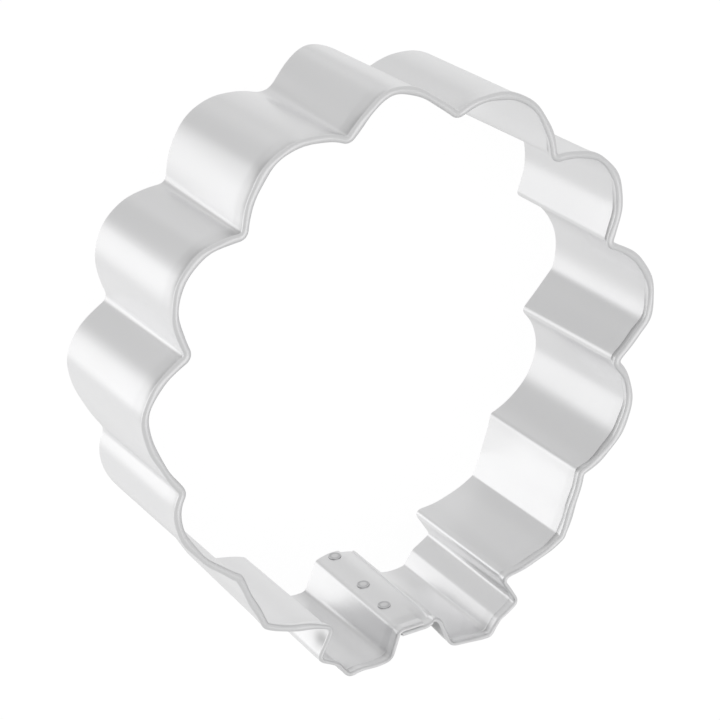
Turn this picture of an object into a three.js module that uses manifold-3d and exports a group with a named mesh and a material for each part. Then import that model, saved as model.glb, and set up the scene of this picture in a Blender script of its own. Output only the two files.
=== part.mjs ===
// A cookie cutter in the outline of a turkey seen from the front: a fan of nine round tail feathers,
// a short body and two feet. One strip of tinplate is bent round the outline. Its upper edge is
// folded over into a hem that makes a blunt rim, and its lower edge is the cutting edge. The two
// ends of the strip lap between the feet, and three spot welds join them.
//
// Millimetres. The cutter lies on its cutting edge at z = 0 with the rim up. +Y points to the top
// of the tail, and the middle of the outline's box is at the origin.

import * as THREE from 'three';
import { mergeVertices } from 'three/addons/utils/BufferGeometryUtils.js';
import Module from 'manifold-3d';

// Strip
const STRIP_DEPTH = 25.4;
const STRIP_THICKNESS = 0.28;

// Hem: the edge is folded inwards round a bead, and a neck below the bead leads back to the wall
const BEAD_RADIUS = 0.55;
const HEM_HEIGHT = 1.5;
const HEM_GAP = 0.05;
const NECK_HEIGHT = 2.4;
const NECK_HANDLE_SHARE = 0.25;
const BEAD_QUARTER_STEPS = 3;
const HOLLOW_STEPS = 2;
const NECK_STEPS = 2;

// Tail: the notches between the feathers lie near a circle about the hub, and each feather rises
// from that circle
const TAIL_RADIUS = 37.2;
const TAIL_HUB_Y = -2.0;
const FEATHER_RISE = 6.0;

// Lower half of the body and a foot, outwards from the middle line
const HIP_X = 25.4;
const HIP_Y = -34.1;
const ANKLE_X = 14.5;
const ANKLE_Y = -37.9;
const HEEL_X = 17.2;
const HEEL_Y = -42.5;
const WEB_X = 13.9;
const WEB_Y = -44.4;
const OUTER_TOE_X = 12.2;
const OUTER_TOE_Y = -46.8;
const INNER_TOE_X = 5.1;
const INNER_TOE_Y = -46.1;

// The bending is a little uneven: the right foot hangs lower, and leans in at the cutting edge
const RIGHT_FOOT_DROP = 1.05;
const RIGHT_FOOT_LEAN = 0.5;
const RIGHT_TOE_LEAN = 2.1;
const LEFT_BELLY_BOW = [0.9, -0.8];
const RIGHT_BELLY_BOW = [-0.65, -0.95];
const LEFT_FLANK_BOW = 0;
const RIGHT_FLANK_BOW = 0.32;

// Bends, tighter at the cutting edge than at the rim
const BEND_RADIUS = 1.1;
const TOE_BEND_RADIUS = 1.9;
const HIP_BEND_RADIUS = 1.0;
const CROTCH_BEND_RADIUS = 1.2;
const EDGE_BEND_SHARE = 0.6;
const BEND_LEAST_REACH = 0.15;
const BEND_STEPS = 4;
const FEATHER_STEPS = 12;
const STRAIGHT_STEPS = 1;

// Spot welds, in a slanting row up the lap
const WELD_DIAMETER = 2.0;
const WELD_CLEARANCE = 0.03;
const WELD_DISH = 0.07;
const WELD_LIP_SHARE = 0.85;
const WELD_LIP_DROP_SHARE = 0.3;
const WELD_FLOOR_SHARE = 0.6;
const WELD_FLOOR_DEPTH_SHARE = 0.7;
const WELD_SIDES = 16;
const WELD_ROW_X = -1.3;
const WELD_ROW_SLANT = 0.9;
const WELD_EDGE_MARGIN = 0.3;
const WELD_NECK_MARGIN = 2.65;
const WELD_MIDDLE_SHARE = 0.585;

// Lap: the right end of the strip lies outside the left end
const LAP_MARGIN = 0.35;
const LAP_CLEARANCE = 0.05;
const LAP_SETBACK = 0.45;
const LAP_RAMP = 2.8;
const LAP_RAMP_FLAT = 0.3;
const LAP_NECK_DROP = 1.1;
const LAP_STEPS = 8;
const CROTCH_Y = -42.1;
const LEFT_CROTCH_LEAN = 0.4;
const RIGHT_CROTCH_LEAN = 0.05;
const CROTCH_ARCH = 0.75;

// Tolerances
const PARALLEL_LIMIT = 1e-6;
const MERGE_DISTANCE = 1e-4;

// Finish
const TIN_COLOUR = 0xd6d7d9;
const TIN_ROUGHNESS = 0.34;
const WELD_COLOUR = 0xb4b5b8;
const WELD_ROUGHNESS = 0.46;

// What follows from those sizes
const BEAD_Z = STRIP_DEPTH - BEAD_RADIUS;
const FOLDED_EDGE_Z = STRIP_DEPTH - HEM_HEIGHT;
const NECK_Z = BEAD_Z - NECK_HEIGHT;
const NECK_HANDLE = new THREE.Vector2(STRIP_THICKNESS / 2, (NECK_HANDLE_SHARE - 1) * NECK_HEIGHT);
const BEAD_END = Math.atan2(NECK_HANDLE.y, NECK_HANDLE.x) + Math.acos(BEAD_RADIUS / NECK_HANDLE.length());
const BEAD_END_DEGREES = THREE.MathUtils.radToDeg(BEAD_END);
const LAP_NECK_Z = NECK_Z - LAP_NECK_DROP;
const WELD_RADIUS = WELD_DIAMETER / 2;
const LAP_HALF = (WELD_ROW_SLANT + WELD_DIAMETER) / 2 + LAP_MARGIN;
const LAP_INNER_END_X = WELD_ROW_X + LAP_HALF;
const LAP_OUTER_END_X = WELD_ROW_X - LAP_HALF;
const LAP_CREST_X = LAP_INNER_END_X + LAP_RAMP_FLAT;
const LEFT_CROTCH_X = LAP_OUTER_END_X - LAP_SETBACK;
const RIGHT_CROTCH_X = LAP_INNER_END_X + LAP_RAMP;
const CROTCH_WIDTH = RIGHT_CROTCH_X - LEFT_CROTCH_X;
const LAP_WALL_SHIFT = STRIP_THICKNESS + LAP_CLEARANCE;
const LAP_HEM_SHIFT = 2 * BEAD_RADIUS + LAP_CLEARANCE;

// Corners of the rim, each side from the crotch up to the top of the tail, with x measured outwards
// from the middle line. A run with handles reaches its corner as a cubic curve, and the other runs
// are straight. The lean is how far the corner shifts at the cutting edge.
const corner = ([x, y], { bend = BEND_RADIUS, lean = [0, 0], handles = [] } = {}) => ({
  at: [x, y],
  bend,
  lean,
  handles,
});

const crotch = (x, lean) => corner([x, CROTCH_Y], { bend: CROTCH_BEND_RADIUS, lean: [0, lean] });

// A place between two others
const between = (from, to, share) => [0, 1].map((axis) => THREE.MathUtils.lerp(from[axis], to[axis], share));

// The belly from ankle to hip, bowed at a third and at two thirds of its length
function belly(ankle, hip, bow) {
  const handles = bow.map((rise, i) => {
    const [x, y] = between(ankle.at, hip, (i + 1) / (bow.length + 1));
    return [x, y + rise];
  });
  return corner(hip, { bend: HIP_BEND_RADIUS, handles });
}

function lowerBody({ crotchX, crotchLean, bow, drop = 0, lean = 0, toeLean = 0 }) {
  const foot = (x, y, bend, leanX = 0) => corner([x, y - drop], { bend, lean: [leanX, lean] });
  const ankle = foot(ANKLE_X, ANKLE_Y, BEND_RADIUS);
  return [
    crotch(crotchX, crotchLean),
    foot(INNER_TOE_X, INNER_TOE_Y, TOE_BEND_RADIUS, toeLean),
    foot(OUTER_TOE_X, OUTER_TOE_Y, BEND_RADIUS),
    foot(WEB_X, WEB_Y, TOE_BEND_RADIUS),
    foot(HEEL_X, HEEL_Y, BEND_RADIUS),
    ankle,
    belly(ankle, [HIP_X, HIP_Y - drop], bow),
  ];
}

// A place on the tail, as a rise over the circle of notches in feather rises and an angle in degrees
function tailPlace([rise, angle]) {
  const radius = TAIL_RADIUS + rise * FEATHER_RISE;
  const turn = THREE.MathUtils.degToRad(angle);
  return [radius * Math.cos(turn), TAIL_HUB_Y + radius * Math.sin(turn)];
}

// The flank from hip to waist, bowed outwards
function waist(place, hip, bow) {
  const top = tailPlace(place);
  const aside = new THREE.Vector2(top[1] - hip[1], hip[0] - top[0]).setLength(bow);
  const handles = [1 / 3, 2 / 3].map((share) => {
    const [x, y] = between(hip, top, share);
    return [x + aside.x, y + aside.y];
  });
  return corner(top, { handles });
}

const feather = (first, second, notch) =>
  corner(tailPlace(notch), { handles: [first, second].map(tailPlace) });

const leftLower = lowerBody({ crotchX: -LEFT_CROTCH_X, crotchLean: LEFT_CROTCH_LEAN, bow: LEFT_BELLY_BOW });
const leftSide = [
  ...leftLower,
  waist([-0.14, -38.6], leftLower.at(-1).at, LEFT_FLANK_BOW),
  feather([0.30, -31.0], [0.94, -18.9], [0.07, -11.8]),
  feather([0.63, -0.8], [1.57, 7.9], [-0.13, 19.6]),
  feather([0.96, 26.9], [1.25, 38.5], [-0.03, 47.5]),
  feather([1.11, 57.5], [1.15, 67.3], [0.20, 77.1]),
];

const rightLower = lowerBody({
  crotchX: RIGHT_CROTCH_X,
  crotchLean: RIGHT_CROTCH_LEAN,
  bow: RIGHT_BELLY_BOW,
  drop: RIGHT_FOOT_DROP,
  lean: RIGHT_FOOT_LEAN,
  toeLean: RIGHT_TOE_LEAN,
});
const rightSide = [
  ...rightLower,
  waist([0, -38.8], rightLower.at(-1).at, RIGHT_FLANK_BOW),
  feather([0.80, -29.7], [0.92, -18.0], [-0.21, -10.9]),
  feather([1.18, -1.2], [1.21, 11.2], [-0.21, 19.8]),
  feather([1.21, 28.2], [1.20, 40.3], [-0.04, 47.9]),
  feather([1.14, 56.7], [1.39, 66.6], [0.20, 76.8]),
];

const topFeatherHandles = [[1.08, 92.9], [1.35, 90.3]].map(tailPlace);

// The whole strip as one list of corners, from its left end in the lap, up the left side, over the
// tail and down the right side to its right end
function mirror(row) {
  return {
    ...row,
    at: [-row.at[0], row.at[1]],
    lean: [-row.lean[0], row.lean[1]],
    handles: row.handles.map(([x, y]) => [-x, y]),
  };
}

function reverse(rows) {
  const turned = rows.map((row, i) => ({
    ...row,
    handles: i + 1 < rows.length ? rows[i + 1].handles.toReversed() : topFeatherHandles,
  }));
  return turned.toReversed();
}

// The crotch leans at the cutting edge, and arches into the body there as a parabola
function lapLean(x) {
  const share = (x - LEFT_CROTCH_X) / CROTCH_WIDTH;
  const arch = CROTCH_ARCH * 4 * share * (1 - share);
  return THREE.MathUtils.lerp(LEFT_CROTCH_LEAN, RIGHT_CROTCH_LEAN, share) + arch;
}

function lapLeanSlope(x) {
  const share = (x - LEFT_CROTCH_X) / CROTCH_WIDTH;
  return (RIGHT_CROTCH_LEAN - LEFT_CROTCH_LEAN + CROTCH_ARCH * 4 * (1 - 2 * share)) / CROTCH_WIDTH;
}

const lapPoint = (x) => corner([x, CROTCH_Y], { bend: CROTCH_BEND_RADIUS, lean: [0, lapLean(x)] });

const stripCorners = [
  lapPoint(LAP_INNER_END_X),
  ...leftSide.map(mirror),
  ...reverse(rightSide),
  lapPoint(LAP_CREST_X),
  lapPoint(LAP_OUTER_END_X),
];

// One run of the strip between two corners. Runs of the crotch are pieces of its arch.
function runCurve(from, to, leanShare) {
  const place = ({ at, lean }) => new THREE.Vector2(at[0] + leanShare * lean[0], at[1] + leanShare * lean[1]);
  if (from.at[1] === CROTCH_Y && to.at[1] === CROTCH_Y) {
    const rise = 2 * CROTCH_ARCH * ((to.at[0] - from.at[0]) / CROTCH_WIDTH) ** 2;
    const handle = place(from).lerp(place(to), 0.5);
    handle.y += leanShare * rise;
    return new THREE.QuadraticBezierCurve(place(from), handle, place(to));
  }
  if (to.handles.length === 0) {
    return new THREE.LineCurve(place(from), place(to));
  }
  const [first, second] = to.handles.map(([x, y]) => new THREE.Vector2(x, y));
  return new THREE.CubicBezierCurve(place(from), first, second, place(to));
}

// How much of each run a bend of the given radius takes, at most half of the shorter run
function bendReach(before, after, radius) {
  const turn = before.getTangentAt(1).angleTo(after.getTangentAt(0));
  const reach = Math.max(radius * Math.tan(turn / 2), BEND_LEAST_REACH);
  return Math.min(reach, before.getLength() / 2, after.getLength() / 2);
}

// Where the lines through two points along their directions meet
function meet(a, alongA, b, alongB) {
  const cross = alongA.cross(alongB);
  if (Math.abs(cross) < PARALLEL_LIMIT) {
    return a.clone().lerp(b, 0.5);
  }
  const reach = b.clone().sub(a).cross(alongB) / cross;
  return a.clone().addScaledVector(alongA, reach);
}

// Points and outward directions along the strip, in the plane of the rim (lean share 0) or of the
// cutting edge (lean share 1), with the same number of points at both
function centreLine(leanShare) {
  const runs = stripCorners.slice(1).map((to, i) => runCurve(stripCorners[i], to, leanShare));
  const tightening = THREE.MathUtils.lerp(1, EDGE_BEND_SHARE, leanShare);
  const stations = [];
  const addStation = (point, along) => {
    stations.push({ point, out: new THREE.Vector2(-along.y, along.x).normalize() });
  };
  let startReach = 0;
  runs.forEach((run, i) => {
    const next = runs[i + 1];
    const end = stripCorners[i + 1];
    const endReach = next ? bendReach(run, next, end.bend * tightening) : 0;
    const length = run.getLength();
    const inLap = i === 0 || i >= runs.length - 2;
    let steps = end.handles.length ? FEATHER_STEPS : STRAIGHT_STEPS;
    if (inLap) {
      steps = LAP_STEPS;
    }
    for (let k = 0; k <= steps; k++) {
      const u = (startReach + (length - startReach - endReach) * (k / steps)) / length;
      addStation(run.getPointAt(u), run.getTangentAt(u));
    }
    if (next) {
      const from = run.getPointAt(1 - endReach / length);
      const to = next.getPointAt(endReach / next.getLength());
      const fromAlong = run.getTangentAt(1 - endReach / length);
      const toAlong = next.getTangentAt(endReach / next.getLength());
      const bend = new THREE.QuadraticBezierCurve(from, meet(from, fromAlong, to, toAlong), to);
      for (let k = 1; k < BEND_STEPS; k++) {
        addStation(bend.getPoint(k / BEND_STEPS), bend.getTangent(k / BEND_STEPS));
      }
    }
    startReach = endReach;
  });
  return stations;
}

// Section of the strip as (distance outwards from the centre line, height)
function arcPoints(radius, first, last, steps) {
  return Array.from({ length: steps + 1 }, (_, k) => {
    const turn = THREE.MathUtils.degToRad(THREE.MathUtils.lerp(first, last, k / steps));
    return [radius * Math.cos(turn), BEAD_Z + radius * Math.sin(turn)];
  });
}

// Outer face of the neck: it leaves the round of the bead smoothly and meets the wall smoothly
function neckCurve() {
  const head = new THREE.Vector2(Math.cos(BEAD_END), Math.sin(BEAD_END)).multiplyScalar(BEAD_RADIUS);
  const foot = new THREE.Vector2(STRIP_THICKNESS / 2, -NECK_HEIGHT);
  const [start, handle, end] = [head, NECK_HANDLE, foot].map(({ x, y }) => new THREE.Vector2(x, BEAD_Z + y));
  return new THREE.QuadraticBezierCurve(start, handle, end);
}

// The folded edge lies inside: up the inner face, round the hollow of the hem and down to the folded
// edge, then up again, over the bead and down the outer face
function stripSection() {
  const half = STRIP_THICKNESS / 2;
  const neck = neckCurve();
  const shares = Array.from({ length: NECK_STEPS + 1 }, (_, k) => k / NECK_STEPS);
  const neckOuter = shares.map((share) => neck.getPoint(share).toArray());
  const neckInner = shares.map((share) => {
    const along = neck.getTangent(share);
    const point = neck.getPoint(share);
    return [point.x + STRIP_THICKNESS * along.y, point.y - STRIP_THICKNESS * along.x];
  });
  const innerFace = [...neckInner, [-half, 0]];
  const above = innerFace.findLast((point) => point[1] > FOLDED_EDGE_Z);
  const below = innerFace.find((point) => point[1] <= FOLDED_EDGE_Z);
  const edgeShare = (above[1] - FOLDED_EDGE_Z) / (above[1] - below[1]);
  const edgeX = THREE.MathUtils.lerp(above[0], below[0], edgeShare) - HEM_GAP;
  return [
    [-half, 0],
    [-half, LAP_NECK_Z],
    ...neckInner.toReversed().slice(0, -1),
    ...arcPoints(BEAD_RADIUS - STRIP_THICKNESS, BEAD_END_DEGREES, 180, HOLLOW_STEPS),
    [edgeX, FOLDED_EDGE_Z],
    [edgeX - STRIP_THICKNESS, FOLDED_EDGE_Z],
    ...arcPoints(BEAD_RADIUS, 180, 90, BEAD_QUARTER_STEPS),
    ...arcPoints(BEAD_RADIUS, 90, BEAD_END_DEGREES, BEAD_QUARTER_STEPS).slice(1),
    ...neckOuter.slice(1),
    [half, LAP_NECK_Z],
    [half, 0],
  ];
}

// How far the right end of the strip moves out of line to lie over the left end, by place and height
function lapShift(x, z) {
  const along = THREE.MathUtils.smoothstep(RIGHT_CROTCH_X - x, 0, RIGHT_CROTCH_X - LAP_CREST_X);
  const up = THREE.MathUtils.smoothstep(z, LAP_NECK_Z, FOLDED_EDGE_Z);
  return along * THREE.MathUtils.lerp(LAP_WALL_SHIFT, LAP_HEM_SHIFT, up);
}

// A closed solid through a row of like sections, capped at both ends
function loft(sections, capShape) {
  const count = sections[0].length;
  const positions = sections.flat().flatMap((p) => [p.x, p.y, p.z]);
  const triangles = [];
  for (let i = 0; i + 1 < sections.length; i++) {
    for (let k = 0; k < count; k++) {
      const a = i * count + k;
      const b = i * count + ((k + 1) % count);
      triangles.push(a, a + count, b, b, a + count, b + count);
    }
  }
  const lastStart = (sections.length - 1) * count;
  for (const [a, b, c] of THREE.ShapeUtils.triangulateShape(capShape, [])) {
    triangles.push(a, c, b, lastStart + a, lastStart + b, lastStart + c);
  }
  const geometry = new THREE.BufferGeometry();
  geometry.setAttribute('position', new THREE.Float32BufferAttribute(positions, 3));
  geometry.setIndex(triangles);
  return geometry;
}

// The bent strip before its weld holes are cut
function bentStrip() {
  const section = stripSection();
  const rim = centreLine(0);
  const edge = centreLine(1);
  const outerStart = rim.length - 2 * (LAP_STEPS + 1) - BEND_STEPS + 1;
  const sections = rim.map((atRim, i) =>
    section.map(([n, z]) => {
      const share = z / STRIP_DEPTH;
      const point = edge[i].point.clone().lerp(atRim.point, share);
      const out = edge[i].out.clone().lerp(atRim.out, share).normalize();
      const shift = i >= outerStart ? lapShift(atRim.point.x, z) : 0;
      point.addScaledVector(out, n + shift);
      return new THREE.Vector3(point.x, point.y, z);
    }),
  );
  return loft(sections, section.map(([n, z]) => new THREE.Vector2(n, z)));
}

// Welds: place of each one in the lap, midway between the two layers and square to them
function weldPlaces() {
  const lowZ = WELD_EDGE_MARGIN + WELD_RADIUS;
  const highZ = LAP_NECK_Z - WELD_NECK_MARGIN - WELD_RADIUS;
  const shares = { lower: 0, middle: WELD_MIDDLE_SHARE, upper: 1 };
  return Object.entries(shares).map(([name, share]) => {
    const x = WELD_ROW_X + WELD_ROW_SLANT * (0.5 - share);
    const z = THREE.MathUtils.lerp(lowZ, highZ, share);
    const leanShare = 1 - z / STRIP_DEPTH;
    const square = new THREE.Vector3(-leanShare * lapLeanSlope(x), 1, lapLean(x) / STRIP_DEPTH).normalize();
    const place = new THREE.Vector3(x, CROTCH_Y + leanShare * lapLean(x), z);
    place.addScaledVector(square, -LAP_WALL_SHIFT / 2);
    const turn = new THREE.Quaternion().setFromUnitVectors(THREE.Object3D.DEFAULT_UP, square);
    return { name, place, turn };
  });
}

// A weld nugget: a short slug through both layers, its faces dished by the electrodes
function nuggetGeometry() {
  const radius = WELD_RADIUS - WELD_CLEARANCE;
  const half = STRIP_THICKNESS + LAP_CLEARANCE / 2;
  const face = [
    [radius, half - WELD_LIP_DROP_SHARE * WELD_DISH],
    [WELD_LIP_SHARE * radius, half],
    [WELD_FLOOR_SHARE * radius, half - WELD_FLOOR_DEPTH_SHARE * WELD_DISH],
    [0, half - WELD_DISH],
  ];
  const back = face.map(([r, y]) => [r, -y]).toReversed();
  return new THREE.LatheGeometry([...back, ...face].map(([r, y]) => new THREE.Vector2(r, y)), WELD_SIDES);
}

// Booleans
const wasm = await Module();
wasm.setup();

function toSolid(geometry) {
  const bare = geometry.clone();
  bare.deleteAttribute('normal');
  bare.deleteAttribute('uv');
  const merged = mergeVertices(bare, MERGE_DISTANCE);
  return new wasm.Manifold(
    new wasm.Mesh({
      numProp: 3,
      vertProperties: new Float32Array(merged.attributes.position.array),
      triVerts: new Uint32Array(merged.index.array),
    }),
  );
}

function toGeometry(solid) {
  const mesh = solid.getMesh();
  const geometry = new THREE.BufferGeometry();
  geometry.setAttribute('position', new THREE.Float32BufferAttribute(mesh.vertProperties, 3));
  geometry.setIndex(Array.from(mesh.triVerts));
  geometry.computeVertexNormals();
  return geometry;
}

function weldHole({ place, turn }) {
  const length = 2 * LAP_HEM_SHIFT + LAP_WALL_SHIFT;
  const hole = new THREE.CylinderGeometry(WELD_RADIUS, WELD_RADIUS, length, WELD_SIDES);
  return toSolid(hole.applyQuaternion(turn).translate(place.x, place.y, place.z));
}

// Assembly
const metal = (color, roughness) => new THREE.MeshStandardMaterial({ color, roughness, metalness: 1 });
const tin = metal(TIN_COLOUR, TIN_ROUGHNESS);
const weldTin = metal(WELD_COLOUR, WELD_ROUGHNESS);

function named(name, geometry, material) {
  const mesh = new THREE.Mesh(geometry, material);
  mesh.name = name;
  return mesh;
}

const welds = weldPlaces();
const cutStrip = welds.reduce((strip, weld) => strip.subtract(weldHole(weld)), toSolid(bentStrip()));
const stripGeometry = toGeometry(cutStrip);
stripGeometry.computeBoundingBox();
const middle = stripGeometry.boundingBox.getCenter(new THREE.Vector3());

const cookieCutter = new THREE.Group();
cookieCutter.name = 'cookie_cutter';
cookieCutter.position.set(-middle.x, -middle.y, 0);
cookieCutter.add(named('formed_strip', stripGeometry, tin));
for (const { name, place, turn } of welds) {
  const nugget = named(`weld_nugget_${name}`, nuggetGeometry(), weldTin);
  nugget.position.copy(place);
  nugget.quaternion.copy(turn);
  cookieCutter.add(nugget);
}

export default cookieCutter;
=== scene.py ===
"""A cookie cutter in the outline of a turkey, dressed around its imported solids.

One strip of satin tinplate is bent round the outline of a bird with a fan of nine tail feathers. Its upper
edge is folded over into a hem, and its lower edge is the cutting edge. The ends lap between the feet, and
three spot welds hold them. Lengths are in metres.
"""
import math
from collections import namedtuple

import bpy
import numpy as np
from mathutils import Matrix, Vector


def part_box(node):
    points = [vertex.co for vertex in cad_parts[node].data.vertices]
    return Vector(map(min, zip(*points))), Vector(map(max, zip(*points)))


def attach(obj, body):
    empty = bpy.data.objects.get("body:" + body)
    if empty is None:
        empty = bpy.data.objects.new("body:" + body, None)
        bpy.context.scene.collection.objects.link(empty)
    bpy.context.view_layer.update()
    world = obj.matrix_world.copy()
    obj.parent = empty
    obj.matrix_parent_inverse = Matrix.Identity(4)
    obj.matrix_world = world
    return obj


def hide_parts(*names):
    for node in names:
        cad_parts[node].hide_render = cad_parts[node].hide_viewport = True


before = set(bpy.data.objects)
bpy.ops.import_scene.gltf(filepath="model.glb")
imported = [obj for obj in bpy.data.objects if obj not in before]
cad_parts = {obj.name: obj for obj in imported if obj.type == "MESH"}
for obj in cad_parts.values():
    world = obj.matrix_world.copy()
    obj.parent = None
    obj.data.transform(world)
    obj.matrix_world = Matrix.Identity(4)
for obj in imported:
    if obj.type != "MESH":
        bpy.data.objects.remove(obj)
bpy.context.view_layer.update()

MM = 0.001
BODY = "root"
STRIP_NODE = "formed_strip"
WELD_NODES = ("weld_nugget_lower", "weld_nugget_middle", "weld_nugget_upper")
strip_low, strip_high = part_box(STRIP_NODE)

# Strip and hem
STRIP_DEPTH = strip_high.z - strip_low.z
STRIP_THICKNESS = 0.28 * MM
BEAD_RADIUS = 0.55 * MM
HEM_HEIGHT = 1.8 * MM
HEM_GAP = 0.05 * MM
NECK_HEIGHT = 3.3 * MM
NECK_HANDLE_SHARE = 0.25
NECK_SET = 0.2 * MM
CUT_EDGE_ROUND = 0.1 * MM

# Unevenness of bending by hand: the line of the strip wavers, the hem is a little wider here and narrower
# there, and it is pressed flatter round the feet
WAVER_LENGTHS = (5.3 * MM, 8.9 * MM, 14.7 * MM)
WAVER_CALM = 6.0 * MM
RIM_WAVER = 0.10 * MM
EDGE_WAVER = 0.05 * MM
HEM_WAVER = 0.16
WAVER_PHASES = (1.0, 2.3, 4.1)
FOOT_PINCH = 0.42
FOOT_PINCH_TOP = -35.0 * MM
FOOT_PINCH_FULL = -38.5 * MM

# Tail
TAIL_RADIUS = 37.2 * MM
TAIL_HUB_Y = -2.0 * MM
FEATHER_RISE = 6.0 * MM

# Lower half of the body and a foot, outwards from the middle line
HIP = (25.4 * MM, -34.1 * MM)
ANKLE = (14.5 * MM, -37.9 * MM)
HEEL = (17.2 * MM, -42.5 * MM)
TOE_WEB = (13.9 * MM, -44.4 * MM)
OUTER_TOE = (12.2 * MM, -46.8 * MM)
INNER_TOE = (5.1 * MM, -46.1 * MM)
RIGHT_FOOT_DROP = 1.05 * MM

# Bows of the runs between the toes, from ankle to hip and from hip to waist
LEFT_TOE_BOW = (0.6 * MM, -0.75 * MM)
RIGHT_TOE_BOW = (0.2 * MM, 0.2 * MM)
LEFT_BELLY_BOW = (0.5 * MM, -1.2 * MM)
RIGHT_BELLY_BOW = (-0.65 * MM, -0.95 * MM)
LEFT_FLANK_BOW = 0.0 * MM
RIGHT_FLANK_BOW = 0.32 * MM

# How far the bends of the feet and hips lean at the cutting edge
LEFT_LEANS = {
    "inner_toe": (0.5 * MM, -0.2 * MM),
    "outer_toe": (0, 0.7 * MM),
    "heel": (-0.42 * MM, 0.35 * MM),
    "ankle": (0.85 * MM, 0.38 * MM),
    "hip": (-0.42 * MM, 0.35 * MM),
}
RIGHT_LEANS = {
    "inner_toe": (2.1 * MM, 0.5 * MM),
    "outer_toe": (0, 0.5 * MM),
    "toe_web": (0, 0.5 * MM),
    "heel": (0, 0.5 * MM),
    "ankle": (-0.15 * MM, 0.65 * MM),
}

# Painted shade at bends, darkening the colour in creases and under the hem, as shares: on the wall, under
# the hem inside and under it outside, with the distance along the strip from the middle of the bend
Rub = namedtuple("Rub", "wall inside outside past", defaults=(0, 0, 0, 0))
NO_BEND_SHADE = Rub()
LEFT_BEND_SHADES = {
    "inner_toe": Rub(wall=0.18, inside=0.35),
    "outer_toe": Rub(inside=0.35),
    "ankle": Rub(outside=0.5, past=-2.3 * MM),
}
RIGHT_BEND_SHADES = {"inner_toe": Rub(inside=0.4), "outer_toe": Rub(inside=0.4)}
LEFT_NOTCH_SHADE = Rub(outside=0.3, past=-1.1 * MM)
TOP_NOTCH_SHADE = Rub(outside=0.35, past=-1.3 * MM)
BEND_SHADE_WIDTH = 1.2 * MM
BEND_SHADE_HEM_DEPTH = 4.5 * MM

# Bends
BEND_RADIUS = 1.1 * MM
TOE_BEND_RADIUS = 1.9 * MM
HIP_BEND_RADIUS = 1.0 * MM
CROTCH_BEND_RADIUS = 1.2 * MM
KNEE_BEND_RADIUS = 5.0 * MM
RIGHT_CROTCH_BEND_RADIUS = 2.2 * MM
EDGE_BEND_SHARE = 0.8
LEFT_NOTCH_EDGE_BEND = 1.5 * MM
TOP_NOTCH_EDGE_BEND = 3.0 * MM
BEND_LEAST_REACH = 0.15 * MM

# Feathers, upwards on each side: two handles of the curve and the notch that ends it, as places on the
# tail (see tail_place), then the notch's lean at the cutting edge, its bend there and its painted shade
Feather = namedtuple("Feather", "first second notch lean edge_bend rub", defaults=((0, 0), None, NO_BEND_SHADE))
LEFT_WAIST = (0.02, -38.7)
LEFT_FEATHERS = (
    Feather((0.30, -31.0), (0.94, -18.9), (0.07, -11.8), edge_bend=LEFT_NOTCH_EDGE_BEND),
    Feather((0.63, -0.8), (1.57, 7.9), (-0.13, 19.6), edge_bend=LEFT_NOTCH_EDGE_BEND),
    Feather(
        (0.96, 26.9),
        (1.25, 38.5),
        (-0.03, 47.5),
        lean=(-0.8 * MM, -0.2 * MM),
        edge_bend=LEFT_NOTCH_EDGE_BEND,
        rub=LEFT_NOTCH_SHADE,
    ),
    Feather(
        (1.11, 57.5),
        (1.15, 67.3),
        (0.20, 77.1),
        lean=(-1.0 * MM, -0.5 * MM),
        edge_bend=TOP_NOTCH_EDGE_BEND,
        rub=TOP_NOTCH_SHADE,
    ),
)
RIGHT_WAIST = (0, -38.8)
RIGHT_KNEE = (0.61, -2.0)
RIGHT_FEATHERS = (
    Feather((0.80, -29.7), (0.92, -18.0), (-0.21, -10.9), (-0.1 * MM, -0.3 * MM)),
    Feather((0.98, 5.2), (0.82, 13.1), (-0.21, 19.8), (0.55 * MM, 0.15 * MM)),
    Feather((1.21, 28.2), (1.20, 40.3), (-0.04, 47.9)),
    Feather((1.08, 56.7), (1.33, 66.6), (0.20, 76.8)),
)
TOP_FEATHER = ((1.11, 92.9), (1.38, 90.3))

# Lap between the feet
LAP_INNER_END_X = 0.5 * MM
LAP_OUTER_END_X = -3.1 * MM
LAP_CREST_X = 0.8 * MM
LEFT_CROTCH_X = -3.55 * MM
RIGHT_CROTCH_X = 3.3 * MM
LAP_CLEARANCE = 0.05 * MM
LAP_NECK_DROP = 1.1 * MM
CROTCH_Y = -42.1 * MM
LEFT_CROTCH_LEAN = 0.4 * MM
RIGHT_CROTCH_LEAN = 0.05 * MM
CROTCH_ARCH = 0.75 * MM

# Spot welds
WELD_DIAMETER = 2.0 * MM
WELD_CLEARANCE = 0.03 * MM
WELD_CUTTER_LENGTH = 6 * MM
WELD_SIDES = 48
# Face of a weld from its rim inwards: share of the radius, share of the half length, depth of the dark ring
WELD_FACE = (
    (1.00, 0.93, 0.3),
    (0.97, 0.97, 0.3),
    (0.90, 0.96, 0.6),
    (0.80, 0.88, 1.0),
    (0.70, 0.86, 1.0),
    (0.58, 0.90, 0.5),
    (0.42, 0.93, 0.1),
    (0.20, 0.95, 0.0),
)

# Fineness of the dressed strip
FEATHER_STEPS = 60
STRAIGHT_STEPS = 16
BEND_STEPS = 12
LAP_STEPS = 36
WALL_ROWS = 10
NECK_STEPS = 14
BEAD_STEPS = 32
EDGE_STEPS = 3
WALK_STEPS = 400
PARALLEL_LIMIT = 1e-6
SHARP_ANGLE = math.radians(38)

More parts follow.
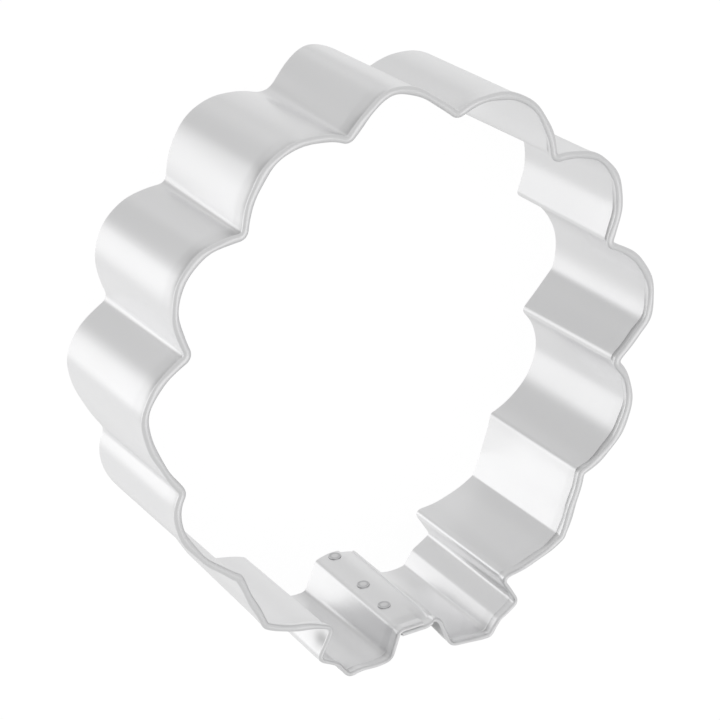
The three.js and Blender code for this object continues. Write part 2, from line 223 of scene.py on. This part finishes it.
# What follows from those sizes
BEAD_Z = STRIP_DEPTH - BEAD_RADIUS
FOLDED_EDGE_Z = STRIP_DEPTH - HEM_HEIGHT
NECK_Z = BEAD_Z - NECK_HEIGHT
NECK_HANDLE = np.array((STRIP_THICKNESS / 2, (NECK_HANDLE_SHARE - 1) * NECK_HEIGHT))
BEAD_END = math.atan2(NECK_HANDLE[1], NECK_HANDLE[0]) + math.acos(BEAD_RADIUS / np.linalg.norm(NECK_HANDLE))
BEAD_END_DEGREES = math.degrees(BEAD_END)
LAP_NECK_Z = NECK_Z - LAP_NECK_DROP
LAP_WALL_SHIFT = STRIP_THICKNESS + LAP_CLEARANCE
LAP_HEM_SHIFT = 2 * (1 - FOOT_PINCH) * BEAD_RADIUS + LAP_CLEARANCE
CROTCH_WIDTH = RIGHT_CROTCH_X - LEFT_CROTCH_X


def smoothstep(value, low, high):
    share = np.clip((value - low) / (high - low), 0, 1)
    return share * share * (3 - 2 * share)


# Outline of the strip, each side from the crotch up to the top of the tail
class Corner:
    """A bend of the strip: its place at the rim, its radius, how far it leans at the cutting edge, the
    handles of the curved run that comes up to it, its radius at the cutting edge, and the shade painted in
    its crease and under the hem. A run with no handles is straight."""

    def __init__(self, place, bend=BEND_RADIUS, lean=(0, 0), handles=(), edge_bend=None, rub=NO_BEND_SHADE):
        self.place = np.array(place)
        self.bend = bend
        self.lean = np.array(lean)
        self.handles = [np.array(handle) for handle in handles]
        self.edge_bend = bend * EDGE_BEND_SHARE if edge_bend is None else edge_bend
        self.rub = rub

    def at(self, lean_share):
        return self.place + lean_share * self.lean

    def bend_at(self, lean_share):
        return self.bend + lean_share * (self.edge_bend - self.bend)

    def mirrored(self):
        flip = np.array((-1, 1))
        handles = [handle * flip for handle in self.handles]
        return Corner(self.place * flip, self.bend, self.lean * flip, handles, self.edge_bend, self.rub)

    def reached_by(self, handles):
        return Corner(self.place, self.bend, self.lean, handles, self.edge_bend, self.rub)


def tail_place(rise, angle):
    """A place on the tail: a rise over the circle of notches, in feather rises, and an angle in degrees."""
    radius = TAIL_RADIUS + rise * FEATHER_RISE
    turn = math.radians(angle)
    return np.array((radius * math.cos(turn), TAIL_HUB_Y + radius * math.sin(turn)))


def bowed(start, end, bows):
    """Handles of a run that bows to its right by the given lengths, at a third and at two thirds of it."""
    aside = np.array((end[1] - start[1], start[0] - end[0]))
    aside /= np.linalg.norm(aside)
    return [start + (end - start) * share + bow * aside for share, bow in zip((1 / 3, 2 / 3), bows)]


def waist(place, hip, bow):
    """The run from hip to waist, bowed outwards."""
    top = tail_place(*place)
    return Corner(top, handles=bowed(hip, top, (bow, bow)))


def feather(row):
    """The notch at the end of a feather, and the curve that comes up to it."""
    handles = (tail_place(*row.first), tail_place(*row.second))
    return Corner(tail_place(*row.notch), BEND_RADIUS, row.lean, handles, row.edge_bend, row.rub)


def belly(ankle, hip, bow):
    """The run from ankle to hip, bowed at a third and at two thirds of its length."""
    handles = []
    for i, rise in enumerate(bow):
        share = (i + 1) / (len(bow) + 1)
        handles.append(ankle.place + share * (hip.place - ankle.place) + np.array((0, rise)))
    return hip.reached_by(handles)


def lower_body(crotch, leans, bend_shades, bow, toe_bow, drop=0.0):
    hang = np.array((0, -drop))

    def foot(name, place, bend=BEND_RADIUS):
        return Corner(np.array(place) + hang, bend, leans.get(name, (0, 0)), rub=bend_shades.get(name, NO_BEND_SHADE))

    ankle = foot("ankle", ANKLE)
    inner_toe = foot("inner_toe", INNER_TOE, TOE_BEND_RADIUS)
    outer_toe = foot("outer_toe", OUTER_TOE)
    return [
        crotch,
        inner_toe,
        outer_toe.reached_by(bowed(inner_toe.place, outer_toe.place, toe_bow)),
        foot("toe_web", TOE_WEB, TOE_BEND_RADIUS),
        foot("heel", HEEL),
        ankle,
        belly(ankle, foot("hip", HIP, HIP_BEND_RADIUS), bow),
    ]


def left_side():
    """Corners of the left side as if it lay on the right. They are mirrored when the sides are joined."""
    crotch = Corner((-LEFT_CROTCH_X, CROTCH_Y), CROTCH_BEND_RADIUS, (0, LEFT_CROTCH_LEAN))
    lower = lower_body(crotch, LEFT_LEANS, LEFT_BEND_SHADES, LEFT_BELLY_BOW, LEFT_TOE_BOW)
    return [*lower, waist(LEFT_WAIST, lower[-1].place, LEFT_FLANK_BOW), *map(feather, LEFT_FEATHERS)]


def right_side():
    """Corners of the right side. Its second feather is flat below a soft bend, the knee."""
    crotch = Corner((RIGHT_CROTCH_X, CROTCH_Y), RIGHT_CROTCH_BEND_RADIUS, (0, RIGHT_CROTCH_LEAN))
    lower = lower_body(crotch, RIGHT_LEANS, RIGHT_BEND_SHADES, RIGHT_BELLY_BOW, RIGHT_TOE_BOW, RIGHT_FOOT_DROP)
    lowest, *others = map(feather, RIGHT_FEATHERS)
    knee = Corner(tail_place(*RIGHT_KNEE), KNEE_BEND_RADIUS)
    return [*lower, waist(RIGHT_WAIST, lower[-1].place, RIGHT_FLANK_BOW), lowest, knee, *others]


def lap_lean(x):
    """How far the crotch leans at the cutting edge, where it arches into the body as a parabola."""
    share = (x - LEFT_CROTCH_X) / CROTCH_WIDTH
    lean = LEFT_CROTCH_LEAN + (RIGHT_CROTCH_LEAN - LEFT_CROTCH_LEAN) * share
    return lean + CROTCH_ARCH * 4 * share * (1 - share)


def lap_lean_slope(x):
    share = (x - LEFT_CROTCH_X) / CROTCH_WIDTH
    return (RIGHT_CROTCH_LEAN - LEFT_CROTCH_LEAN + CROTCH_ARCH * 4 * (1 - 2 * share)) / CROTCH_WIDTH


def lap_corner(x):
    return Corner((x, CROTCH_Y), CROTCH_BEND_RADIUS, (0, lap_lean(x)))


def strip_corners():
    """All corners, from the left end in the lap, over the tail, to the right end that lies outside it."""
    right = right_side()
    top_handles = [tail_place(*place) for place in TOP_FEATHER]
    following = [corner.handles[::-1] for corner in right[1:]] + [top_handles]
    down = [corner.reached_by(handles) for corner, handles in zip(right, following)]
    up = [corner.mirrored() for corner in left_side()]
    ends = [lap_corner(LAP_CREST_X), lap_corner(LAP_OUTER_END_X)]
    return [lap_corner(LAP_INNER_END_X), *up, *down[::-1], *ends]


# Centre line of the strip
class Run:
    """One run between two corners, walked by distance."""

    def __init__(self, start, end, handles):
        share = np.linspace(0, 1, WALK_STEPS + 1)[:, None]
        back = 1 - share
        if handles:
            first, second = handles
            self.points = back**3 * start + 3 * back**2 * share * first
            self.points = self.points + 3 * back * share**2 * second + share**3 * end
        else:
            self.points = back * start + share * end
        steps = np.linalg.norm(np.diff(self.points, axis=0), axis=1)
        self.walked = np.concatenate(([0], np.cumsum(steps)))
        self.length = self.walked[-1]

    def at(self, distance):
        return np.array([np.interp(distance, self.walked, self.points[:, axis]) for axis in (0, 1)])

    def along(self, distance):
        probe = self.length / WALK_STEPS
        low = np.clip(distance - probe, 0, self.length - 2 * probe)
        step = self.at(low + 2 * probe) - self.at(low)
        return step / np.linalg.norm(step)


def run_between(start, end, lean_share):
    """The run between two corners. Runs of the crotch are pieces of its arch."""
    low, high = start.at(lean_share), end.at(lean_share)
    if start.place[1] == CROTCH_Y and end.place[1] == CROTCH_Y:
        width_share = (end.place[0] - start.place[0]) / CROTCH_WIDTH
        rise = np.array((0, lean_share * CROTCH_ARCH * 4 / 3 * width_share**2))
        return Run(low, high, [low + (high - low) * share + rise for share in (1 / 3, 2 / 3)])
    return Run(low, high, end.handles)


def cross(a, b):
    return a[0] * b[1] - a[1] * b[0]


def bend_reach(before, after, radius):
    """How much of each run a bend takes, at most half of the shorter run."""
    leaving = before.along(before.length)
    entering = after.along(0)
    turn = abs(math.atan2(cross(leaving, entering), leaving @ entering))
    reach = max(radius * math.tan(turn / 2), BEND_LEAST_REACH)
    return min(reach, before.length / 2, after.length / 2)


def bend_points(before, after, reach):
    start = before.at(before.length - reach)
    end = after.at(reach)
    leaving = before.along(before.length - reach)
    entering = after.along(reach)
    spread = cross(leaving, entering)
    apex = (start + end) / 2
    if abs(spread) > PARALLEL_LIMIT:
        apex = start + leaving * cross(end - start, entering) / spread
    shares = [k / BEND_STEPS for k in range(1, BEND_STEPS)]
    return [(1 - s) ** 2 * start + 2 * (1 - s) * s * apex + s**2 * end for s in shares]


def centre_line(lean_share):
    """Points along the strip in the plane of the rim (lean share 0) or of the cutting edge (lean share 1),
    which of them lie in the outer layer of the lap, and each corner with the number of its point."""
    corners = strip_corners()
    runs = [run_between(start, end, lean_share) for start, end in zip(corners, corners[1:])]
    points = []
    outer_lap = []
    bends = []
    start_reach = 0.0
    for i, run in enumerate(runs):
        following = runs[i + 1] if i + 1 < len(runs) else None
        end_reach = bend_reach(run, following, corners[i + 1].bend_at(lean_share)) if following else 0.0
        lapping = i == 0 or i >= len(runs) - 2
        steps = FEATHER_STEPS if corners[i + 1].handles else STRAIGHT_STEPS
        steps = LAP_STEPS if lapping else steps
        for k in range(steps + 1):
            points.append(run.at(start_reach + (run.length - start_reach - end_reach) * k / steps))
        if following:
            bends.append((corners[i + 1], len(points) + BEND_STEPS // 2))
            points.extend(bend_points(run, following, end_reach))
        added = len(points) - len(outer_lap)
        outer_lap.extend([i >= len(runs) - 2] * added)
        start_reach = end_reach
    return np.array(points), np.array(outer_lap), bends


def outward(points):
    """Unit directions square to the line, to the left of its run, which is outside the bird."""
    along = np.gradient(points, axis=0)
    along /= np.linalg.norm(along, axis=1)[:, None]
    return np.stack((-along[:, 1], along[:, 0]), axis=1)


# Section of the strip, as distances outwards from the centre line and heights
def arc(centre, radius, first, last, steps):
    turns = [math.radians(first + (last - first) * k / steps) for k in range(steps + 1)]
    return [(centre[0] + radius * math.cos(turn), centre[1] + radius * math.sin(turn)) for turn in turns]


def neck_curve():
    """Outer face of the neck: it leaves the round of the bead smoothly and meets the wall smoothly."""
    head = BEAD_RADIUS * np.array((math.cos(BEAD_END), math.sin(BEAD_END)))
    foot = np.array((STRIP_THICKNESS / 2, -NECK_HEIGHT))
    shares = np.linspace(0, 1, NECK_STEPS + 1)[:, None]
    curve = (1 - shares) ** 2 * head + 2 * (1 - shares) * shares * NECK_HANDLE + shares**2 * foot
    return curve + np.array((0, BEAD_Z))


def strip_section():
    """The folded edge lies inside: up the inner face, round the hollow of the hem and down to the folded
    edge, then up again, over the bead and down the outer face."""
    half = STRIP_THICKNESS / 2
    neck_outer = neck_curve()
    neck_inner = neck_outer - STRIP_THICKNESS * outward(neck_outer)
    edge_x = np.interp(FOLDED_EDGE_Z, neck_inner[::-1, 1], neck_inner[::-1, 0]) - HEM_GAP
    rows = [NECK_Z * k / WALL_ROWS for k in range(WALL_ROWS)]
    hollow = arc((0, BEAD_Z), BEAD_RADIUS - STRIP_THICKNESS, BEAD_END_DEGREES, 180, BEAD_STEPS)
    lip_centre = (edge_x - STRIP_THICKNESS + CUT_EDGE_ROUND, FOLDED_EDGE_Z + CUT_EDGE_ROUND)
    lip = arc(lip_centre, CUT_EDGE_ROUND, 270, 180, EDGE_STEPS)
    bead = arc((0, BEAD_Z), BEAD_RADIUS, 180, BEAD_END_DEGREES, BEAD_STEPS)
    return np.array(
        [(-half, z) for z in rows]
        + [tuple(place) for place in neck_inner[:0:-1]]
        + hollow
        + [(edge_x, FOLDED_EDGE_Z)]
        + lip
        + bead
        + [tuple(place) for place in neck_outer[1:]]
        + [(half, z) for z in rows[::-1]]
    )


def lap_shift(x, z):
    """How far the right end of the strip moves out of line to lie over the left end."""
    along = smoothstep(RIGHT_CROTCH_X - x, 0, RIGHT_CROTCH_X - LAP_CREST_X)
    up = smoothstep(z, LAP_NECK_Z, FOLDED_EDGE_Z)
    return along * (LAP_WALL_SHIFT + (LAP_HEM_SHIFT - LAP_WALL_SHIFT) * up)


def walked(line):
    return np.concatenate(([0], np.cumsum(np.linalg.norm(np.diff(line, axis=0), axis=1))))


def waver(along, phase):
    waves = []
    for k, length in enumerate(WAVER_LENGTHS):
        waves.append(np.sin(2 * math.pi * along / length + phase * (k + 1)))
    return sum(waves) / len(waves)


def painted_shade_at_bends(bends, along, section):
    """How much painted shade darkens the strip in its bends and under the hem, by station and by place in
    the section.
    """
    offset, height = section[:, 0], section[:, 1]
    under_hem = smoothstep(height, BEAD_Z - BEND_SHADE_HEM_DEPTH, BEAD_Z - BEAD_RADIUS) * (height < BEAD_Z)
    painted_shade = np.zeros((len(along), len(height)))
    for corner, station in bends:
        rub = corner.rub
        near = np.exp(-(((along - along[station] - rub.past) / BEND_SHADE_WIDTH) ** 2))
        across = np.maximum(rub.wall, np.where(offset < 0, rub.inside, rub.outside) * under_hem)
        painted_shade = np.maximum(painted_shade, near[:, None] * across[None, :])
    return painted_shade


def strip_grid():
    """Vertices of the bent strip by station and by place in the section, the distance along the strip, and
    how much painted shade darkens it at the bends and under the hem."""
    rim, outer_lap, bends = centre_line(0)
    edge = centre_line(1)[0]
    along = walked(rim)
    calm = smoothstep(np.minimum(along, along[-1] - along), WAVER_CALM, 2 * WAVER_CALM)
    sway = (calm * waver(along, WAVER_PHASES[0]))[:, None]
    rim = rim + outward(rim) * sway * RIM_WAVER
    edge = edge + outward(edge) * sway * EDGE_WAVER
    rim_out = outward(rim)
    edge_out = outward(edge)
    section = strip_section()
    offset, height = section[:, 0], section[:, 1]
    share = (height / STRIP_DEPTH)[None, :, None]
    line = edge[:, None, :] * (1 - share) + rim[:, None, :] * share
    out = edge_out[:, None, :] * (1 - share) + rim_out[:, None, :] * share
    out /= np.linalg.norm(out, axis=2)[:, :, None]
    in_hem = smoothstep(height, NECK_Z, BEAD_Z)[None, :]
    pinch = FOOT_PINCH * smoothstep(-rim[:, 1], -FOOT_PINCH_TOP, -FOOT_PINCH_FULL)
    width = (1 - pinch) * (1 + HEM_WAVER * calm * waver(along, WAVER_PHASES[1]))
    spread = offset[None, :] * (1 + (width[:, None] - 1) * in_hem)
    spread = spread + NECK_SET * calm[:, None] * share[:, :, 0] * (1 - in_hem)
    drop = (HEM_WAVER * calm * waver(along, WAVER_PHASES[2]))[:, None] * in_hem
    level = height[None, :] - drop * (STRIP_DEPTH - height)[None, :]
    shift = np.where(outer_lap[:, None], lap_shift(rim[:, :1], height[None, :]), 0.0)
    flat = line + out * (spread + shift)[:, :, None]
    return np.concatenate((flat, level[:, :, None]), axis=2), along, painted_shade_at_bends(bends, along, section)


# Mesh making
def new_piece(name, vertices, faces):
    mesh = bpy.data.meshes.new(name)
    mesh.from_pydata([tuple(v) for v in vertices], [], faces)
    mesh.update()
    piece = bpy.data.objects.new(name, mesh)
    bpy.context.scene.collection.objects.link(piece)
    return piece


def smooth(piece):
    mesh = piece.data
    mesh.polygons.foreach_set("use_smooth", [True] * len(mesh.polygons))
    mesh.set_sharp_from_angle(angle=SHARP_ANGLE)


def loft_faces(stations, count):
    faces = []
    for i in range(stations - 1):
        for k in range(count):
            a = i * count + k
            b = i * count + (k + 1) % count
            faces.append((a, a + count, b + count, b))
    faces.append(tuple(range(count)))
    faces.append(tuple(reversed(range((stations - 1) * count, stations * count))))
    return faces


def weld_stance(node, shift):
    """Where a weld stands, and the turn that lays its axis square to the lapped walls."""
    low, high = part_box(node)
    centre = (low + high) / 2
    x = centre.x - shift[0]
    lean_share = 1 - centre.z / STRIP_DEPTH
    square = Vector((-lean_share * lap_lean_slope(x), 1, lap_lean(x) / STRIP_DEPTH))
    return Matrix.Translation(centre) @ Vector((0, 0, 1)).rotation_difference(square).to_matrix().to_4x4()


def cut_weld_holes(piece, shift):
    for node in WELD_NODES:
        bpy.ops.mesh.primitive_cylinder_add(
            vertices=WELD_SIDES, radius=WELD_DIAMETER / 2, depth=WELD_CUTTER_LENGTH
        )
        cutter = bpy.context.object
        cutter.matrix_world = weld_stance(node, shift)
        cut = piece.modifiers.new("weld_hole", "BOOLEAN")
        cut.object = cutter
        cut.operation = "DIFFERENCE"
        cut.solver = "EXACT"
        with bpy.context.temp_override(object=piece):
            bpy.ops.object.modifier_apply(modifier=cut.name)
        bpy.data.objects.remove(cutter)


def bent_strip():
    """The strip, and how far its outline was moved to lie in the middle of the frame."""
    grid, along, painted_shade = strip_grid()
    flat = grid.reshape(-1, 3)
    shift = (np.array(strip_low) + np.array(strip_high) - flat.min(axis=0) - flat.max(axis=0)) / 2
    shift[2] = 0
    stations, count = grid.shape[:2]
    piece = new_piece("bent_strip", flat + shift, loft_faces(stations, count))
    run = piece.data.attributes.new("strip_run", "FLOAT", "POINT")
    run.data.foreach_set("value", np.repeat(along, count).astype(np.float32))
    # Painted shade: darkening of the colour in the bends and under the hem, stored for the finish
    rub = piece.data.attributes.new("bend_rub", "FLOAT", "POINT")
    rub.data.foreach_set("value", painted_shade.ravel().astype(np.float32))
    cut_weld_holes(piece, shift)
    smooth(piece)
    return piece, shift


# Spot welds
def nugget(node, shift):
    """A slug through both layers: each face has a raised lip, a ring pressed in by the electrode, and a low
    crown. The ring is stored for the finish."""
    radius = WELD_DIAMETER / 2 - WELD_CLEARANCE
    half = STRIP_THICKNESS + LAP_CLEARANCE / 2
    profile = [(r, -h, ring) for r, h, ring in reversed(WELD_FACE)] + list(WELD_FACE)
    vertices = []
    rings = []
    for r, h, ring in profile:
        for k in range(WELD_SIDES):
            turn = 2 * math.pi * k / WELD_SIDES
            vertices.append((r * radius * math.cos(turn), r * radius * math.sin(turn), h * half))
            rings.append(ring)
    faces = []
    for i in range(len(profile) - 1):
        for k in range(WELD_SIDES):
            a = i * WELD_SIDES + k
            b = i * WELD_SIDES + (k + 1) % WELD_SIDES
            faces.append((a, b, b + WELD_SIDES, a + WELD_SIDES))
    last = (len(profile) - 1) * WELD_SIDES
    faces.append(tuple(reversed(range(WELD_SIDES))))
    faces.append(tuple(range(last, last + WELD_SIDES)))
    piece = new_piece(node.replace("nugget", "mark"), vertices, faces)
    pressed = piece.data.attributes.new("weld_ring", "FLOAT", "POINT")
    pressed.data.foreach_set("value", np.array(rings, dtype=np.float32))
    piece.data.transform(weld_stance(node, shift))
    smooth(piece)
    return piece


# Finishes
class Shade:
    """A socket of a node tree. Sums and products of shades add Math nodes."""

    def __init__(self, tree, socket=None):
        self.tree = tree
        self.socket = socket

    def node(self, kind, settings=None, inputs=None, output=0):
        made = self.tree.nodes.new(kind)
        for name, value in (settings or {}).items():
            setattr(made, name, value)
        for name, value in (inputs or {}).items():
            if isinstance(value, Shade):
                self.tree.links.new(value.socket, made.inputs[name])
            else:
                made.inputs[name].default_value = value
        return Shade(self.tree, made.outputs[output] if made.outputs else None)

    def maths(self, operation, *values):
        return self.node("ShaderNodeMath", {"operation": operation}, dict(enumerate(values)))

    def __add__(self, other):
        return self.maths("ADD", self, other)

    def __radd__(self, other):
        return self.maths("ADD", other, self)

    def __sub__(self, other):
        return self.maths("SUBTRACT", self, other)

    def __rsub__(self, other):
        return self.maths("SUBTRACT", other, self)

    def __mul__(self, other):
        return self.maths("MULTIPLY", self, other)

    def __rmul__(self, other):
        return self.maths("MULTIPLY", other, self)


TIN_LIGHT = (0.90, 0.90, 0.903, 1)
TIN_DARK = (0.86, 0.86, 0.867, 1)
# Colour towards which painted shade darkens the tin in its bends and under the hem
TIN_PAINTED_SHADE = (0.1, 0.1, 0.1, 1)
TIN_ROUGHNESS = 0.32
TIN_ROUGHNESS_SPREAD = 0.06
TIN_ANISOTROPY = 0.3
GRAIN_TURN = 0.25
GRAIN_ALONG = 60
GRAIN_ACROSS = 9000
GRAIN_DETAIL = 3
GRAIN_SHARE = 0.3
GRAIN_HEIGHT = 0.0006 * MM
GRAIN_BUMP = 0.4
CLOUD_SCALE = 90
CLOUD_DETAIL = 4
CLOUD_SHARE = 0.7
NOISE_MIDDLE = 0.5
WELD_LIGHT = (0.80, 0.80, 0.805, 1)
WELD_DARK = (0.60, 0.60, 0.61, 1)
WELD_ROUGHNESS = 0.38
WELD_GRAIN_SCALE = 2500
WELD_GRAIN_DETAIL = 3
WELD_GRAIN_HEIGHT = 0.01 * MM
WELD_GRAIN_BUMP = 0.5
WELD_RING_LEAST = 0.5
# Sockets of a Mix node that mixes colours
MIX_FACTOR, MIX_FIRST, MIX_SECOND, MIX_RESULT = 0, 6, 7, 2


def new_material(name):
    material = bpy.data.materials.new(name)
    material.use_nodes = True
    material.node_tree.nodes.clear()
    return material, Shade(material.node_tree)


def finish_material(shade, surface):
    shade.node("ShaderNodeOutputMaterial", inputs={"Surface": surface})


def mix_colours(shade, factor, first, second):
    values = {MIX_FACTOR: factor, MIX_FIRST: first, MIX_SECOND: second}
    return shade.node("ShaderNodeMix", {"data_type": "RGBA"}, values, output=MIX_RESULT)


def stored(shade, name):
    """A value that was stored on the mesh."""
    return shade.node("ShaderNodeAttribute", {"attribute_name": name}, output="Fac")


def noise(shade, place, scale, detail):
    return shade.node("ShaderNodeTexNoise", inputs={"Vector": place, "Scale": scale, "Detail": detail})


def bumped(shade, height, distance, strength):
    values = {"Height": height, "Distance": distance, "Strength": strength}
    return shade.node("ShaderNodeBump", inputs=values)


def tin_finish():
    material, shade = new_material("satin_tinplate")
    place = shade.node("ShaderNodeTexCoord", output="Object")
    height = shade.node("ShaderNodeSeparateXYZ", inputs={"Vector": place}, output="Z")
    across = {"X": stored(shade, "strip_run") * GRAIN_ALONG, "Y": height * GRAIN_ACROSS}
    grain = noise(shade, shade.node("ShaderNodeCombineXYZ", inputs=across), 1, GRAIN_DETAIL)
    clouds = noise(shade, place, CLOUD_SCALE, CLOUD_DETAIL)
    plating = mix_colours(shade, clouds * CLOUD_SHARE + grain * GRAIN_SHARE, TIN_DARK, TIN_LIGHT)
    # Painted shade: the tin is darkened in its bends and under the hem
    colour = mix_colours(shade, stored(shade, "bend_rub"), plating, TIN_PAINTED_SHADE)
    spread = (clouds - NOISE_MIDDLE) + (grain - NOISE_MIDDLE)
    roughness = TIN_ROUGHNESS + spread * TIN_ROUGHNESS_SPREAD
    surface = shade.node(
        "ShaderNodeBsdfPrincipled",
        inputs={
            "Base Color": colour,
            "Metallic": 1.0,
            "Roughness": roughness,
            "Anisotropic": TIN_ANISOTROPY,
            "Anisotropic Rotation": GRAIN_TURN,
            "Normal": bumped(shade, grain, GRAIN_HEIGHT, GRAIN_BUMP),
        },
    )
    finish_material(shade, surface)
    return material


def weld_finish():
    material, shade = new_material("pressed_weld")
    place = shade.node("ShaderNodeTexCoord", output="Object")
    grain = noise(shade, place, WELD_GRAIN_SCALE, WELD_GRAIN_DETAIL)
    ring = stored(shade, "weld_ring") * (grain + WELD_RING_LEAST)
    surface = shade.node(
        "ShaderNodeBsdfPrincipled",
        inputs={
            "Base Color": mix_colours(shade, ring, WELD_LIGHT, WELD_DARK),
            "Metallic": 1.0,
            "Roughness": WELD_ROUGHNESS,
            "Normal": bumped(shade, grain, WELD_GRAIN_HEIGHT, WELD_GRAIN_BUMP),
        },
    )
    finish_material(shade, surface)
    return material


# Camera, at the photograph's viewing angle
CAMERA_PLACE = Vector((-176.1, 160.99, 325.11)) * MM
CAMERA_RIGHT = Vector((0.8634, -0.0388, 0.5031))
CAMERA_UP = Vector((0.2372, 0.9112, -0.3369))
LENS = 135.05
SENSOR = 36.0
CAMERA_CLIP = 10 * MM


def make_camera():
    data = bpy.data.cameras.new("camera")
    data.lens = LENS
    data.sensor_width = SENSOR
    data.clip_start = CAMERA_CLIP
    camera = bpy.data.objects.new("camera", data)
    right = CAMERA_RIGHT.normalized()
    back = right.cross(CAMERA_UP).normalized()
    up = back.cross(right)
    turn = Matrix((right, up, back)).transposed()
    camera.matrix_world = Matrix.Translation(CAMERA_PLACE) @ turn.to_4x4()
    bpy.context.scene.collection.objects.link(camera)
    bpy.context.scene.camera = camera


# Studio: a pale floor that only the camera sees, a ring of panels below it that the walls mirror, and a
# top light. A panel has its first and last angle in degrees and its brightness.
FLOOR_HALF = 3.0
FLOOR_GAP = 0.02 * MM
FLOOR_GLOW = 0.945
FLOOR_COLOUR = (0.1, 0.1, 0.1, 1)
WHITE = (1, 1, 1, 1)
SURROUND_LIGHT = 0.66
RING_RADIUS = 0.7
RING_LOW = -1.6
RING_HIGH = -0.5
RING_STEP = 4
PANELS = {
    "right_fill": (-30, 40, 0.86),
    "flag_right": (40, 68, 0.72),
    "flag_gap": (68, 90, 0.79),
    "flag_left": (90, 138, 0.72),
    "softbox_edge": (138, 150, 0.95),
    "softbox": (150, 200, 1.26),
    "near_fill": (200, 280, 0.92),
    "side_fill": (280, 330, 0.76),
}
TOP_LIGHT_HEIGHT = 0.8
TOP_LIGHT_RADIUS = 0.5
TOP_LIGHT = 0.9
UNDER_FLAG = 0.3
NOOK_LIGHT = 0.08
CROTCH_FLAG = {"radius": 9 * MM, "height": -1 * MM, "middle": (1.2 * MM, -57 * MM)}
SCRIM = (0.91, 0.91, 0.91, 1)
SCRIM_MIDDLE = (38 * MM, 0)
SCRIM_RADIUS = 31 * MM
SCRIM_HEIGHT = -2 * MM


def seen_by_camera(shade):
    return shade.node("ShaderNodeLightPath", output="Is Camera Ray")


def make_floor():
    half = FLOOR_HALF
    corners = [(-half, -half), (half, -half), (half, half), (-half, half)]
    floor = new_piece("floor", [(x, y, strip_low.z - FLOOR_GAP) for x, y in corners], [(0, 1, 2, 3)])
    material, shade = new_material("pale_floor")
    paper = shade.node("ShaderNodeBsdfDiffuse", inputs={"Color": FLOOR_COLOUR})
    glow = shade.node("ShaderNodeEmission", inputs={"Strength": seen_by_camera(shade) * FLOOR_GLOW})
    surface = shade.node("ShaderNodeAddShader", inputs={0: paper, 1: glow})
    finish_material(shade, surface)
    material.cycles.emission_sampling = "NONE"
    floor.data.materials.append(material)
    floor.visible_diffuse = False
    floor.visible_glossy = False
    floor.visible_shadow = False


def studio_piece(name, vertices, faces, shader, inputs):
    piece = new_piece(name, vertices, faces)
    material, shade = new_material(name)
    finish_material(shade, shade.node(shader, inputs=inputs))
    piece.data.materials.append(material)
    piece.visible_camera = False


def light_piece(name, vertices, faces, brightness):
    studio_piece(name, vertices, faces, "ShaderNodeEmission", {"Strength": brightness})


def make_panel(name, first, last, brightness):
    turns = [math.radians(min(a, last)) for a in range(first, last + RING_STEP, RING_STEP)]
    vertices = []
    for turn in turns:
        x, y = RING_RADIUS * math.cos(turn), RING_RADIUS * math.sin(turn)
        vertices += [(x, y, RING_LOW), (x, y, RING_HIGH)]
    faces = [(2 * k, 2 * k + 1, 2 * k + 3, 2 * k + 2) for k in range(len(turns) - 1)]
    light_piece(name, vertices, faces, brightness)


def disc(radius, height, middle=(0, 0)):
    turns = [math.radians(a) for a in range(0, 360, RING_STEP)]
    x, y = middle
    vertices = [(x + radius * math.cos(turn), y + radius * math.sin(turn), height) for turn in turns]
    return vertices, [tuple(range(len(turns)))]


def make_flags():
    """A small dark flag just under the floor for the crotch, and a thin scrim under the right half."""
    light_piece("crotch_flag", *disc(**CROTCH_FLAG), NOOK_LIGHT)
    scrim = disc(SCRIM_RADIUS, SCRIM_HEIGHT, SCRIM_MIDDLE)
    studio_piece("scrim", *scrim, "ShaderNodeBsdfTransparent", {"Color": SCRIM})


def make_world():
    world = bpy.data.worlds.new("white_surround")
    world.use_nodes = True
    world.node_tree.nodes.clear()
    shade = Shade(world.node_tree)
    strength = SURROUND_LIGHT + seen_by_camera(shade) * (1 - SURROUND_LIGHT)
    surround = shade.node("ShaderNodeBackground", inputs={"Color": WHITE, "Strength": strength})
    shade.node("ShaderNodeOutputWorld", inputs={"Surface": surround})
    bpy.context.scene.world = world


make_camera()
make_floor()
make_world()
light_piece("top_light", *disc(TOP_LIGHT_RADIUS, TOP_LIGHT_HEIGHT), TOP_LIGHT)
light_piece("under_flag", *disc(RING_RADIUS, RING_LOW), UNDER_FLAG)
make_flags()
for panel_name, (first_angle, last_angle, panel_light) in PANELS.items():
    make_panel(panel_name, first_angle, last_angle, panel_light)

strip, strip_shift = bent_strip()
strip.data.materials.append(tin_finish())
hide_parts(STRIP_NODE)
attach(strip, BODY)

weld_material = weld_finish()
for weld_node in WELD_NODES:
    mark = nugget(weld_node, strip_shift)
    mark.data.materials.append(weld_material)
    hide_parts(weld_node)
    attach(mark, BODY)

bpy.context.scene.view_settings.view_transform = "Standard"
